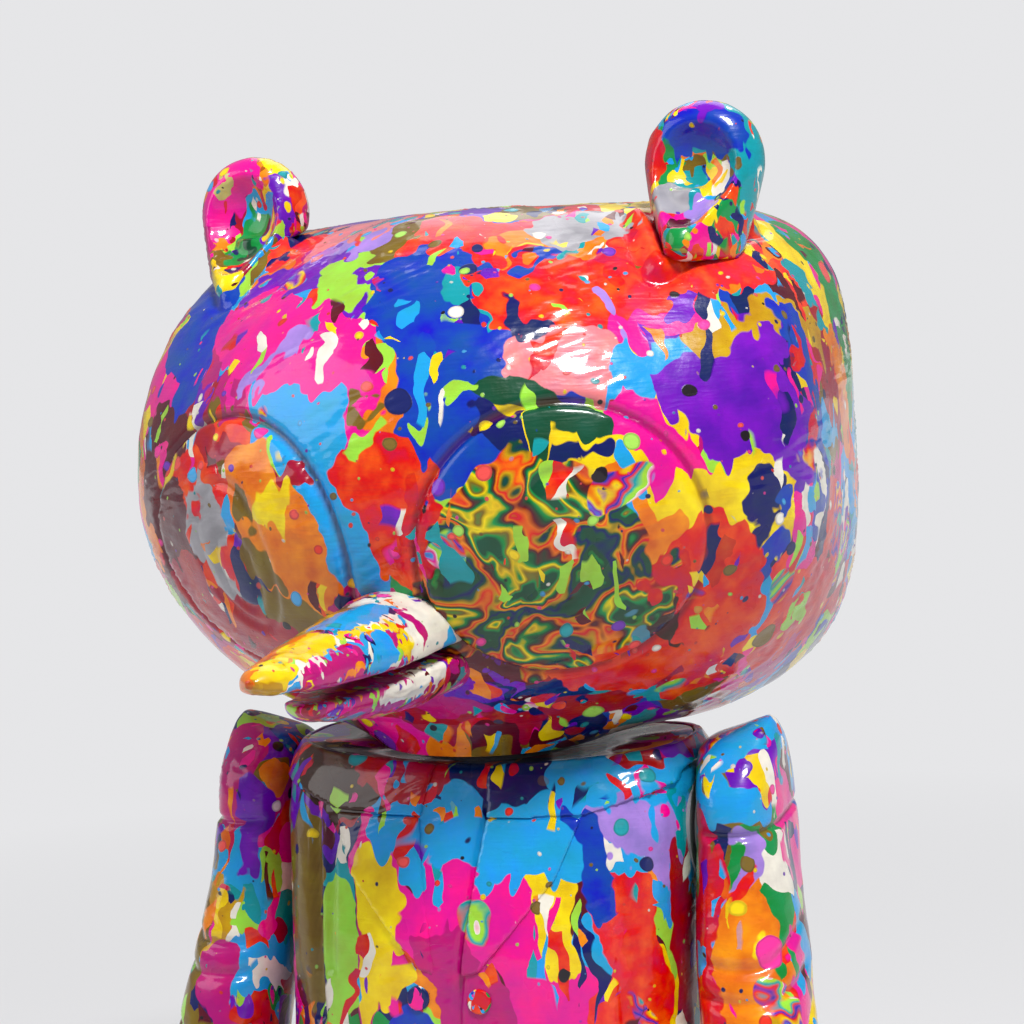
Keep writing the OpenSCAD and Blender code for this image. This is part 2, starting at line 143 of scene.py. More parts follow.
def head_point(a, b, inset=0.0):
    """A point of the head's skin, from its centre: a goes round the neck axis and b down from the crown."""
    a, b = np.radians(a), np.radians(b)
    back = smooth(np.clip((np.sin(a) + FACE_END) / (1 + FACE_END), 0, 1))
    high = smooth(np.clip((np.cos(b) + 0.35) / 0.7, 0, 1))
    plan = PLAN_EXP[0] + (PLAN_EXP[1] - PLAN_EXP[0]) * back
    under = UNDER_EXP[0] + (UNDER_EXP[1] - UNDER_EXP[0]) * back
    top = TOP_EXP[0] + (TOP_EXP[1] - TOP_EXP[0]) * back
    depth = FRONT + (BACK - FRONT) * back
    r = super_r(np.cos(a), np.sin(a), HALF_W, depth, plan) - inset
    away = smooth(np.clip(np.sin(b) / 0.6, 0, 1))
    side = under + (top - under) * high
    k = super_r(np.sin(b), np.cos(b), 1, 1, POLE_EXP + (side - POLE_EXP) * away)
    return np.stack([
        r * k * np.sin(b) * np.cos(a), r * k * np.sin(b) * np.sin(a), (HALF_H - inset) * k * np.cos(b)
    ], -1)


def on_face(f, b):
    """The toy-frame point of the head's skin f degrees to the toy's left of straight ahead."""
    return CENTRE + head_point(np.float64(270 + f), np.float64(b))


def wave(points, size, seed=0.0):
    """Smooth noise, about -1 to 1, with features of that size in mm."""
    shift = Vector((seed * 7.3, seed * 3.1, seed * 5.7))
    values = [noise.noise(Vector(p) / size + shift) for p in points.reshape(-1, 3)]
    return np.array(values).reshape(points.shape[:-1])


def strokes_relief(points, seed=0.0):
    """Ridges that a loaded brush leaves, in patches, about 0 to 1."""
    turned = points @ np.array(Matrix.Rotation(math.radians(24), 3, "Y")).T
    long = turned * np.array([0.16, 0.3, 1.0])
    ridge = 1 - np.abs(wave(long, 1.1, seed)) * 2.6
    patch = ramp01(wave(points, 15, seed + 2), 0.02, 0.3)
    return np.clip(ridge, 0, 1) ** 2 * patch


def grid_normals(points):
    """Outward normals of a grid of rings listed from the top down, each counter-clockwise from above."""
    along = np.roll(points, -1, 1) - np.roll(points, 1, 1)
    down = np.gradient(points, axis=0)
    n = np.cross(down, along)
    return n / np.maximum(np.linalg.norm(n, axis=-1, keepdims=True), 1e-9)


def make_mesh(name, points, faces):
    """A smooth-shaded object from points in mm."""
    mesh = bpy.data.meshes.new(name)
    mesh.from_pydata([tuple(p) for p in np.asarray(points) * MM], [], faces)
    mesh.validate()
    mesh.shade_smooth()
    obj = bpy.data.objects.new(name, mesh)
    bpy.context.scene.collection.objects.link(obj)
    return obj


def skin(name, rings):
    """A closed skin over rings listed from the top down, with a fan at each end."""
    rows, n = len(rings), len(rings[0])
    points = np.concatenate([np.concatenate(rings), [np.mean(rings[0], 0)], [np.mean(rings[-1], 0)]])
    faces = []
    for r in range(rows - 1):
        for i in range(n):
            a, b = r * n + i, r * n + (i + 1) % n
            faces.append((b, a, a + n, b + n))
    last = (rows - 1) * n
    for i in range(n):
        j = (i + 1) % n
        faces.append((rows * n, i, j))
        faces.append((rows * n + 1, last + j, last + i))
    return make_mesh(name, points, faces)


def spline(stations, at):
    """Each column of stations, drawn smoothly over the first and read at the given values."""
    s = stations if stations[0][0] < stations[-1][0] else stations[::-1]
    t = s[:, 0]
    slope = np.gradient(s, t, axis=0)
    k = np.clip(np.searchsorted(t, at, side="right") - 1, 0, len(t) - 2)
    h = (t[k + 1] - t[k])[:, None]
    u = ((at - t[k])[:, None]) / h
    return (
        (2 * u**3 - 3 * u**2 + 1) * s[k] + (u**3 - 2 * u**2 + u) * h * slope[k]
        + (-2 * u**3 + 3 * u**2) * s[k + 1] + (u**3 - u**2) * h * slope[k + 1]
    )


def oval(w, d, e, sides):
    """Points round a superellipse, counter-clockwise."""
    a = np.linspace(0, 2 * np.pi, sides, endpoint=False)
    r = ((np.abs(np.cos(a)) / w) ** e + (np.abs(np.sin(a)) / d) ** e) ** (-1 / e)
    return np.stack([r * np.cos(a), r * np.sin(a)], -1)


def groove(distance, width):
    """A soft bump of height 1 where the distance is 0."""
    return np.exp(-((distance / width) ** 2))


def segment_distance(x, z, a, b):
    """Distance in the XZ plane from the line between a and b."""
    ax, az, bx, bz = *a, *b
    t = np.clip(((x - ax) * (bx - ax) + (z - az) * (bz - az)) / ((bx - ax) ** 2 + (bz - az) ** 2), 0, 1)
    return np.hypot(x - ax - t * (bx - ax), z - az - t * (bz - az))


# An eye's centre, in degrees to the side and down from the crown, and its outer ring's radius
EYE_ANGLE, EYE_DROP, EYE_R = 35.8, 100.9, 21.6
# Ovals in an eye: half-width, half-height, and height above the eye's centre
IRIS = (7.6, 11.2, 0.6)
PUPIL = (3.9, 6.2, -1.6)


def eye_relief(points):
    """The engraved rings of both eyes: a large ring round a low lens, an oval and a small oval in it."""
    height = np.zeros(points.shape[:-1])
    for s in (-1, 1):
        centre = head_point(np.float64(270 + s * EYE_ANGLE), np.float64(EYE_DROP))
        side = np.array([math.cos(math.radians(EYE_ANGLE)), s * math.sin(math.radians(EYE_ANGLE)), 0])
        d = points - centre
        across, up = d @ side, d[..., 2]
        r = np.linalg.norm(d, axis=-1)
        near = r < 30
        iris = np.hypot(across / IRIS[0], (up - IRIS[2]) / IRIS[1])
        pupil = np.hypot(across / PUPIL[0], (up - PUPIL[2]) / PUPIL[1])
        h = 0.4 * (1 - ramp01(r, 20.4, 21.8)) - 1.1 * groove(r - EYE_R, 0.75)
        h -= 0.7 * groove((iris - 1) * 8.5, 0.6) + 0.3 * (1 - ramp01(iris, 0.9, 1.0))
        h -= 0.6 * groove((pupil - 1) * 4.6, 0.55)
        height += np.where(near, h, 0)
    return height


# Ends and low point of the fold under an ear: degrees to the side, and down from the crown
EAR_FOLD = ((81, 30), (68, 44), (99, 42))


def span_distance(points, a, b):
    """Distance in space from the line between a and b."""
    reach = b - a
    t = np.clip(((points - a) @ reach) / (reach @ reach), 0, 1)
    return np.linalg.norm(points - a - t[..., None] * reach, axis=-1)


def ear_root_relief(points):
    """The raised V-shaped fold that each ear's toe sits in."""
    height = np.zeros(points.shape[:-1])
    for s in (-1, 1):
        ends = [head_point(np.float64(270 + s * f), np.float64(b)) for f, b in EAR_FOLD]
        near, far = span_distance(points, ends[0], ends[1]), span_distance(points, ends[1], ends[2])
        away = np.minimum(near, far)
        height += 1.5 * groove(away, 1.3) - 0.5 * groove(away - 2.6, 0.7)
    return height


def paint_relief(points, seed, scale=1.0):
    """Unevenness of poured paint in mm: broad waves, small waves and brush ridges."""
    return scale * (
        0.2 * wave(points, 8, seed) + 0.08 * wave(points, 2.6, seed + 1)
        + 0.2 * strokes_relief(points, seed + 3)
    )


def build_head():
    """The head's skin, its neck rim and a coarse inner wall."""
    sides, rows = 336, 264
    a = np.linspace(0, 360, sides, endpoint=False)
    b = np.linspace(1.5, UNDER_ANGLE, rows)
    grid_a, grid_b = np.meshgrid(a, b)
    points = head_point(grid_a, grid_b)
    height = eye_relief(points) + ear_root_relief(points) + paint_relief(points, 0.5)
    height *= 1 - ramp01(grid_b, UNDER_ANGLE - 8, UNDER_ANGLE)
    outer = points + grid_normals(points) * height[..., None]
    circle = oval(NECK_HOLE, NECK_HOLE, 2, sides)
    rim_z = HEAD_LOW[2] - CENTRE[2]
    rim = [np.column_stack([circle * r / NECK_HOLE, np.full(sides, z)])
           for r, z in ((NECK_HOLE + 2, rim_z), (NECK_HOLE, rim_z), (NECK_HOLE, rim_z + 3.8))]
    inner_b = np.linspace(UNDER_ANGLE, 6, 12)
    inner = [head_point(a, np.full(sides, q), HEAD_WALL) for q in inner_b]
    rings = [*outer, *rim, *inner]
    head = skin("head", [r + CENTRE for r in rings])
    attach(head, "head")
    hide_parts("head_shell")
    return head


def jacket_y(x, z):
    """How far in front of the body's axis the jacket's skin is at x, z."""
    _, w, d = spline(JACKET, np.array([z]))[0]
    return -d * max(0.0, 1 - (abs(x) / w) ** JACKET_EXP) ** (1 / JACKET_EXP)


# The jacket's front opening, from the collar to the hem: x and height
OPENING = ((5.3, 99), (1.5, 70.5), (0.8, 38))
# Folds in the jacket's front: x and height of both ends, and depth
JACKET_FOLDS = (
    ((-25, 101), (-23, 66), 1.5), ((-21, 96), (-20.5, 74), 0.8), ((26, 96), (27, 60), 0.8),
)


def build_jacket():
    """The jacket's skin with its opening and folds, dished under the head and hollow at neck and hem."""
    sides, rows = 300, 130
    z = np.linspace(YOKE_Z, HEM_Z, rows)
    at = spline(JACKET, z)
    points = np.stack([np.column_stack([oval(w, d, JACKET_EXP, sides), np.full(sides, h)]) for h, w, d in at])
    out = np.clip((np.hypot(points[..., 0], points[..., 1]) - DISH_R[0]) / (DISH_R[1] - DISH_R[0]), 0, 1)
    points[..., 2] = np.minimum(points[..., 2], COLLAR_Z + DISH_H * out)
    x, y, height_z = points[..., 0], points[..., 1], points[..., 2]
    front = y < 0
    h = 0.55 * wave(points * np.array([1, 1, 0.35]), 8, 4.5) * ramp01(height_z, 100, 92)
    opening = np.minimum(
        segment_distance(x, height_z, OPENING[0], OPENING[1]),
        segment_distance(x, height_z, OPENING[1], OPENING[2]),
    )
    h += np.where(front, -1.1 * groove(opening, 0.6), 0)
    for top, foot, deep in JACKET_FOLDS:
        h += np.where(front, -deep * groove(segment_distance(x, height_z, top, foot), 1.0), 0)
    h += 0.5 * (1 - ramp01(height_z, HEM_Z + 2.6, HEM_Z + 3.6))
    h += paint_relief(points, 5.5, 0.8)
    h *= ramp01(height_z, COLLAR_Z - 1, COLLAR_Z - 4)
    outer = points + grid_normals(points) * h[..., None]
    neck = oval(YOKE_HOLE, YOKE_HOLE, 2, sides)
    top = [np.column_stack([neck, np.full(sides, q)]) for q in (COLLAR_Z - 2.7, COLLAR_Z)]
    inside = oval(JACKET[0][1] - JACKET_WALL, JACKET[0][2] - JACKET_WALL, JACKET_EXP, sides)
    bottom = [np.column_stack([inside, np.full(sides, q)]) for q in (HEM_Z, HEM_Z + 4.2)]
    jacket = skin("jacket", [r + (0, AXIS_Y, 0) for r in [*top, *outer, *bottom]])
    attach(jacket, "torso")
    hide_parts("jacket_body")
    return jacket


# Folds in the front of a sleeve: height and slope
SLEEVE_FOLDS = ((79, 0.35), (73, 0.2), (67, 0.45))


def build_sleeve(side):
    """A sleeve, made as the left one and mirrored for the right."""
    sides, rows = 150, 120
    z = np.concatenate([np.linspace(SLEEVE[0][0], 101, 30), np.linspace(100.6, CUFF_Z, rows)])
    at = spline(SLEEVE, z)
    points = np.stack([
        np.column_stack([
            oval((outer - inner) / 2, max(d, 0.3), SLEEVE_EXP, sides) + ((inner + outer) / 2, y),
            np.full(sides, h),
        ])
        for h, inner, outer, y, d in at
    ])
    x, y, height_z = points[..., 0], points[..., 1], points[..., 2]
    outside = ramp01(x, 36.4, 38.4)
    folds = wave(points * np.array([1, 1, 0.5]) + side * 9, 7, 7.5)
    h = 0.5 * folds * ramp01(height_z, 98, 90)
    h -= 0.9 * groove(height_z - 95 - 0.06 * y, 0.6) + 0.7 * groove(height_z - 51.4, 0.5)
    for low, tilt in SLEEVE_FOLDS:
        h -= 0.8 * groove(height_z - low - tilt * (y + 8), 0.9) * ramp01(-y, 2, 12)
    h += paint_relief(points + side * 40, 8.5, 0.8)
    h *= outside * ramp01(height_z, 107, 102) * ramp01(height_z, CUFF_Z, CUFF_Z + 1.2)
    points = points + grid_normals(points) * np.minimum(h, 0.7)[..., None]
    if side < 0:
        points = (points * np.array([-1, 1, 1]))[:, ::-1]
    name = "left" if side > 0 else "right"
    sleeve = skin(name + "_arm_sleeve", [r + (0, AXIS_Y, 0) for r in points])
    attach(sleeve, name + "_arm")
    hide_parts(name + "_sleeve")
    return sleeve


def build_mandible(name, stations, node, seed, mouth):
    """A mandible from its root inside the face to its rounded tip; rings run along the beak."""
    sides, rows = 96, 110
    reach = stations[0][0] + (stations[-1][0] - stations[0][0]) * np.linspace(0, 1, rows) ** 0.8
    at = spline(stations, reach)
    a = -np.linspace(0, 2 * np.pi, sides, endpoint=False)
    rings = []
    for r, mid, w, up, down in at:
        above = np.sin(a) > 0
        bulge = np.abs(np.sin(a)) ** np.where(above == (mouth > 0), MOUTH_EXP, 1)
        tall = np.where(above, max(up, 0.1), -max(down, 0.1)) * bulge
        rings.append(np.stack([max(w, 0.1) * np.cos(a), np.full(sides, -r), mid + tall], -1))
    points = np.stack(rings)
    fade = np.clip((stations[-1][0] - reach) / 8, 0, 1)[:, None] * np.clip((reach - 36) / 6, 0, 1)[:, None]
    h = (paint_relief(points, seed, 0.9) + 0.25 * wave(points * np.array([1, 0.3, 1]), 3, seed)) * fade
    points = points + grid_normals(points) * h[..., None]
    beak = skin(name, [r + CENTRE for r in points])
    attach(beak, "head")
    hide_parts(node)
    return beak


def coated(name, node, body, voxel, rounds, relief, seed):
    """A CAD piece with a smooth coat of paint over it: its shape at voxel size, its edges softened."""
    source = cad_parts[node]
    obj = bpy.data.objects.new(name, source.data.copy())
    bpy.context.scene.collection.objects.link(obj)
    remesh = obj.modifiers.new("coat", "REMESH")
    remesh.mode = "VOXEL"
    remesh.voxel_size = voxel * MM
    soften = obj.modifiers.new("soften", "SMOOTH")
    soften.factor = 0.5
    soften.iterations = rounds
    mesh = bpy.data.meshes.new_from_object(obj.evaluated_get(bpy.context.evaluated_depsgraph_get()))
    obj.modifiers.clear()
    obj.data = mesh
    mesh.materials.clear()
    count = len(mesh.vertices)
    at, normals = np.empty(count * 3), np.empty(count * 3)
    mesh.vertices.foreach_get("co", at)
    mesh.vertices.foreach_get("normal", normals)
    at, normals = at.reshape(-1, 3) / MM, normals.reshape(-1, 3)
    at = at + normals * (paint_relief(at, seed, relief))[:, None]
    mesh.vertices.foreach_set("co", (at * MM).ravel())
    mesh.shade_smooth()
    mesh.update()
    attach(obj, body)
    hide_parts(node)
    return obj


# ---------------------------------------------------------------- paint

class Tree:
    """A short way to write a material's nodes."""

    def __init__(self, name):
        self.material = bpy.data.materials.new(name)
        self.material.use_nodes = True
        self.tree = self.material.node_tree
        self.tree.nodes.clear()

    def node(self, kind, inputs=None, **settings):
        made = self.tree.nodes.new(kind)
        for key, value in settings.items():
            setattr(made, key, value)
        for key, value in (inputs or {}).items():
            self.put(made.inputs[key], value)
        return made

    def put(self, socket, value):
        if isinstance(value, bpy.types.NodeSocket):
            self.tree.links.new(value, socket)
        elif value is not None:
            socket.default_value = value

    def math(self, operation, *values, clamp=False):
        made = self.node("ShaderNodeMath", dict(enumerate(values)), operation=operation, use_clamp=clamp)
        return made.outputs[0]

    def vector(self, operation, *values, out="Vector"):
        made = self.node("ShaderNodeVectorMath", dict(enumerate(values)), operation=operation)
        return made.outputs[out]

    def scaled(self, vector, factor):
        return self.vector("MULTIPLY", vector, factor if hasattr(factor, "__len__") else (factor,) * 3)

    def mix(self, amount, under, over, blend="MIX"):
        made = self.node("ShaderNodeMix", data_type="RGBA", blend_type=blend)
        self.put(made.inputs[0], amount)
        self.put(made.inputs[6], under)
        self.put(made.inputs[7], over)
        return made.outputs[2]

    def noise(self, vector, size, detail=1.0, out="Fac"):
        made = self.node("ShaderNodeTexNoise", {"Vector": vector, "Scale": 1 / size, "Detail": detail})
        return made.outputs[out]

    def voronoi(self, vector, size, feature="F1"):
        return self.node("ShaderNodeTexVoronoi", {"Vector": vector, "Scale": 1 / size}, feature=feature)

    def split(self, colour):
        return self.node("ShaderNodeSeparateColor", {0: colour}).outputs

    def step(self, value, edge, width):
        """0 below edge and 1 above it, over that width."""
        return self.math("MULTIPLY_ADD", value, 1 / width, 0.5 - edge / width, clamp=True)

    def palette(self, value, names, blend="CONSTANT"):
        made = self.node("ShaderNodeValToRGB", {0: value})
        made.color_ramp.interpolation = blend
        elements = made.color_ramp.elements
        while len(elements) < len(names):
            elements.new(0.5)
        for i, name in enumerate(names):
            elements[i].position = i / len(names)
            elements[i].color = srgb(name)
        return made.outputs[0]


PATCHES = ("red", "pink", "royal", "yellow", "violet", "scarlet", "sky", "magenta", "orange", "green",
           "crimson", "teal", "coral", "navy", "olive", "pink")
SMALL = ("yellow", "scarlet", "lime", "navy", "pink", "sky", "maroon", "orange", "violet", "cream", "teal",
         "red")
DOTS = ("yellow", "lime", "navy", "pink", "sky", "scarlet", "cream", "olive", "teal", "violet", "coral",
        "black")
MARBLE = ("forest", "forest", "green", "olive", "yellow", "green", "forest", "maroon", "orange", "scarlet",
          "mustard", "forest", "navy", "forest")
SWIRLED = ("cream", "pink", "sky", "violet", "yellow", "scarlet", "royal", "coral", "teal", "lime")
# Splashes, drops and specks: size of their cells, share of cells left empty, least radius, spread of the
# radius, and where in the noise they lie
DROPS = ((8.5, 0.8, 0.1, 0.22, 3), (3.6, 0.7, 0.1, 0.26, 40), (1.55, 0.74, 0.08, 0.22, 80))


def painted(name, strokes=(), patches=PATCHES, marble=None, rings=(), seed=0.0, grain=1.0, pool_edge=0.68):
    """Poured and splattered gloss paint. strokes is a list of (colour, start, end, radius), the last on top;
    marble is (centre, radius) of a region where wet colours ran into each other; rings are the centres of the
    eyes' outer rings, whose engraved grooves are darkened as painted shade; grain scales the random layers,
    and a higher pool_edge leaves fewer marbled pools."""
    t = Tree(name)
    place = t.scaled(t.node("ShaderNodeTexCoord").outputs["Object"], 1 / MM)
    offset = t.vector("ADD", place, (seed * 31.0, seed * 17.0, seed * 23.0))
    swirl = t.noise(offset, 10 * grain, 1, out="Color")
    ripple = t.noise(offset, 3.2 * grain, 0.5, out="Color")
    column = t.noise(t.scaled(offset, (1, 1, 0.1)), 3.2 * grain, 0)
    run = t.math("MULTIPLY", t.math("SUBTRACT", column, 0.54, clamp=True), 22 * grain)
    bent = t.vector("ADD", place, t.scaled(t.vector("SUBTRACT", swirl, (0.5,) * 3), 11 * grain))
    bent = t.vector("ADD", bent, t.scaled(t.vector("SUBTRACT", ripple, (0.5,) * 3), 2.0 * grain))
    bent = t.vector("ADD", bent, t.node("ShaderNodeCombineXYZ", {"Z": run}).outputs[0])
    ragged = t.math("MULTIPLY_ADD", t.noise(offset, 1.7, 0), 1.2, -0.6)

    shifted = t.vector("ADD", bent, (seed * 41.0, seed * 13.0, seed * 29.0))
    ground = t.split(t.voronoi(t.scaled(shifted, (1, 1, 0.7)), 12 * grain).outputs["Color"])
    colour = t.palette(ground[0], patches)
    second = t.voronoi(t.vector("ADD", shifted, (55, 21, 8)), 6 * grain)
    pick = t.split(second.outputs["Color"])
    second_on = t.step(pick[1], 0.6, 0.01)
    colour = t.mix(second_on, colour, t.palette(pick[0], SMALL))

    for shade, start, end, radius in strokes:
        if np.allclose(start, end):
            far = t.vector("DISTANCE", bent, tuple(start), out="Value")
        else:
            reach = np.array(end) - np.array(start)
            gap = t.vector("SUBTRACT", bent, tuple(start))
            along = t.vector("DOT_PRODUCT", gap, tuple(reach / (reach @ reach)), out="Value")
            along = t.math("MINIMUM", t.math("MAXIMUM", along, 0.0), 1.0)
            nearest = t.node("ShaderNodeVectorMath", {0: tuple(reach), "Scale": along}, operation="SCALE")
            far = t.vector("DISTANCE", gap, nearest.outputs[0], out="Value")
        inside = t.math("MULTIPLY_ADD", t.math("SUBTRACT", far, ragged), -5, radius * 5 + 0.5)
        colour = t.mix(inside, colour, srgb(shade))

    # Wet colours that ran into each other
    fold = t.vector("ADD", place, t.scaled(t.noise(offset, 13, 1, out="Color"), 16))
    bands = t.math("FRACT", t.math("MULTIPLY", t.noise(fold, 9, 2), 3.2))
    marbled = t.palette(bands, MARBLE, "LINEAR")
    if marble is not None:
        centre, radius = marble
        far = t.vector("DISTANCE", place, tuple(centre), out="Value")
        far = t.math("MULTIPLY_ADD", t.noise(offset, 6, 1), 16, far)
        wet = t.step(far, radius + 8, -0.4)
        colour = t.mix(wet, colour, marbled)
    swirled = t.palette(bands, SWIRLED, "LINEAR")
    pools = t.step(t.noise(t.vector("ADD", offset, (9, 90, 3)), 14 * grain, 1), pool_edge, 0.01)
    colour = t.mix(pools, colour, swirled)
    # Painted shade: each eye's engraved outer ring is mixed half-way to maroon, as shade lying in the groove
    for centre in rings:
        away = t.math("SUBTRACT", t.vector("DISTANCE", place, tuple(centre), out="Value"), EYE_R)
        line = t.math("MULTIPLY", t.step(t.math("ABSOLUTE", away), 0.55, -0.5), 0.5)
        colour = t.mix(line, colour, srgb("maroon"))

    # Streaks dragged by a brush
    tilted = t.node("ShaderNodeMapping", {
        "Vector": bent, "Rotation": (0.2, 0.5, 0.3), "Scale": (1.4, 1.0, 0.16),
    })
    streak = t.voronoi(tilted.outputs[0], 2.6 * grain)
    streak_pick = t.split(streak.outputs["Color"])
    streaks = t.math("MULTIPLY", t.step(streak_pick[1], 0.72, 0.01),
                     t.step(t.noise(t.vector("ADD", offset, (70, 5, 44)), 11, 1), 0.53, 0.02))
    colour = t.mix(streaks, colour, t.palette(streak_pick[0], SMALL))

    # Tone differs a little inside one colour
    tone = t.noise(offset, 4.5, 3)
    colour = t.node("ShaderNodeHueSaturation", {
        "Hue": t.math("MULTIPLY_ADD", tone, 0.07, 0.465), "Value": t.math("MULTIPLY_ADD", tone, 0.7, 0.54),
        "Saturation": 1.08, "Color": colour,
    }).outputs[0]

    # Splashes, drops and specks, large to small
    drops_height = None
    loose = t.vector("ADD", place, t.scaled(t.vector("SUBTRACT", ripple, (0.5,) * 3), 1.1))
    for size, share, low, spread, shift in DROPS:
        cell = t.voronoi(t.vector("ADD", loose, (shift + seed, shift, seed * 3)), size)
        r, g, b = t.split(cell.outputs["Color"])[:3]
        radius = t.math("MULTIPLY_ADD", r, spread, low)
        edge = t.math("SUBTRACT", radius, cell.outputs["Distance"])
        on = t.math("MULTIPLY", t.math("MULTIPLY", edge, size * 8, clamp=True), t.step(g, share, 0.01))
        rim = t.math("MULTIPLY", on, t.step(edge, 0.28 / size, -0.2 / size))
        colour = t.mix(on, colour, t.palette(b, DOTS))
        colour = t.mix(t.math("MULTIPLY", rim, 0.35), colour, srgb("black"))
        drops_height = on if drops_height is None else t.math("ADD", drops_height, on)

    # Relief: pooled edges, dragged ridges and drops under the clear coat
    combed = t.node("ShaderNodeMapping", {
        "Vector": place, "Rotation": (0.1, 0.42, 0.2), "Scale": (0.12, 0.25, 1.0),
    })
    ridges = t.math("ABSOLUTE", t.math("MULTIPLY_ADD", t.noise(combed.outputs[0], 0.8, 1), 2, -1))
    height = t.math("MULTIPLY_ADD", ridges, -0.5, t.math("MULTIPLY", drops_height, 0.35))
    height = t.math("ADD", height, t.math("MULTIPLY", t.noise(offset, 1.6, 2), 0.7))
    height = t.math("MULTIPLY_ADD", second_on, 0.3, height)
    height = t.math("MULTIPLY_ADD", streaks, 0.5, height)
    bump = t.node("ShaderNodeBump", {"Strength": 0.55, "Distance": 0.16 * MM, "Height": height})
    smudge = t.noise(offset, 6, 2)
    shader = t.node("ShaderNodeBsdfPrincipled", {
        "Base Color": colour, "Roughness": t.math("MULTIPLY_ADD", smudge, 0.2, 0.2),
        "Normal": bump.outputs[0],
        "IOR": 1.5, "Specular IOR Level": 0.2, "Coat Weight": 0.65, "Coat Roughness": 0.07, "Coat IOR": 1.5,
    })
    t.put(t.node("ShaderNodeOutputMaterial").inputs["Surface"], shader.outputs[0])
    return t.material


# Strokes on the head: colour, then the angle to the toy's left of straight ahead and the angle down from
# the crown at each end, and the radius in mm
HEAD_STROKES = (
    ("salmon", -60, 22, -20, 26, 7), ("lavender", -45, 30, -15, 22, 4), ("violet", -60, 38, -25, 35, 5),
    ("pink", -48, 48, -30, 60, 8), ("magenta", -58, 56, -36, 68, 3), ("royal", -78, 44, -60, 60, 7),
    ("olive", -6, 24, 0, 50, 6), ("lime", -20, 36, -10, 48, 6), ("violet", -12, 36, -12, 36, 2.4),
    ("violet", -15, 44, -8, 46, 1.6), ("pink", -20, 55, -2, 75, 9), ("lavender", -36, 66, -24, 52, 1.6),
    ("orange", 5, 58, 9, 80, 5), ("yellow", 8, 62, 10, 74, 2.6),
    ("sky", -28, 66, -14, 74, 2.6), ("sky", -12, 74, -5, 100, 6), ("sky", -2, 84, 0, 102, 3),
    ("coral", 14, 27, 46, 29, 7), ("orange", 42, 30, 60, 33, 5), ("yellow", 8, 34, 45, 34, 1.6),
    ("scarlet", 16, 31, 26, 37, 3.4), ("royal", 9, 40, 18, 75, 9), ("royal", 18, 60, 31, 70, 8),
    ("teal", 20, 43, 27, 48, 4), ("scarlet", 37, 44, 54, 52, 9), ("royal", 24, 38, 50, 35, 1.6),
    ("navy", 30, 40, 33, 60, 1.8), ("grey", 60, 27, 74, 28, 6), ("coral", 62, 50, 84, 45, 7),
    # The salmon stroke from 33, 61 to 46, 64 is pink paint made pale as a painted highlight on the brow
    ("pink", 56, 58, 66, 56, 5), ("lavender", 52, 47, 55, 62, 1.8), ("salmon", 33, 61, 46, 64, 4),
    ("violet", 66, 68, 76, 84, 9), ("violet", 60, 62, 76, 63, 4), ("sky", 48, 68, 64, 60, 2.2),
    ("pink", 48, 74, 58, 87, 5), ("mustard", 66, 60, 92, 61, 3.6), ("forest", 30, 70, 38, 76, 5),
    ("royal", 84, 62, 86, 100, 4), ("red", 82, 66, 84, 82, 2.2), ("yellow", 52, 93, 68, 96, 8),
    ("yellow", 28, 82, 44, 88, 7), ("orange", 45, 90, 50, 98, 5), ("royal", 16, 82, 27, 82, 4.6),
    ("navy", 24, 75, 42, 80, 1.8), ("yellow", 20, 86, 22, 86, 1.6), ("scarlet", 3, 84, 12, 104, 6),
    ("red", 11, 92, 16, 106, 4), ("navy", 71, 92, 62, 120, 3), ("royal", 74, 96, 71, 114, 2),
    ("brown", 42, 112, 60, 116, 8), ("scarlet", 62, 104, 74, 132, 7), ("scarlet", 40, 127, 56, 130, 6),
    ("red", 50, 106, 58, 107, 2.8), ("maroon", 15, 114, 20, 130, 6), ("maroon", -58, 80, -55, 112, 9),
    ("crimson", -54, 112, -30, 126, 9), ("crimson", -42, 78, -16, 82, 3), ("orange", -28, 84, -18, 106, 7),
    ("olive", -31, 86, -28, 102, 2.5), ("yellow", -20, 84, -25, 92, 2.2), ("grey", -44, 90, -41, 104, 4),
    ("scarlet", -48, 84, -46, 88, 3), ("orange", -72, 72, -66, 100, 2.6), ("olive", -27, 112, -18, 115, 4.5),
    # The crimson band from -30, 138 to 60, 142 runs along the head's lower edge where it meets the collar;
    # its dark red is partly painted shadow of that contact and partly the paint's own colour
    ("crimson", -30, 138, 60, 142, 4), ("magenta", 0, 138, 14, 138, 4), ("navy", 22, 137, 34, 139, 3.4),
    ("violet", 12, 134, 18, 136, 3), ("yellow", 102, 36, 104, 60, 6), ("teal", 96, 36, 97, 60, 3),
    ("green", 108, 48, 108, 74, 5), ("red", 92, 100, 98, 120, 6), ("orange", 100, 66, 104, 84, 4),
    ("red", 81, 30, 68, 44, 2), ("red", 68, 44, 99, 42, 2),
    ("steel", 48, 116, 49, 117, 2.8), ("steel", 52, 122, 52, 122, 2.6), ("steel", 47, 107, 47, 107, 1.8),
    ("sky", 45, 82, 46, 84, 1.8), ("sky", 43, 90, 46, 92, 2), ("lime", 18, 67, 22, 68, 1.7),
    ("lime", 8, 70, 12, 69, 1.6), ("olive", -3, 68, -3, 68, 2), ("lime", 0, 74, 0, 80, 1.8),
)

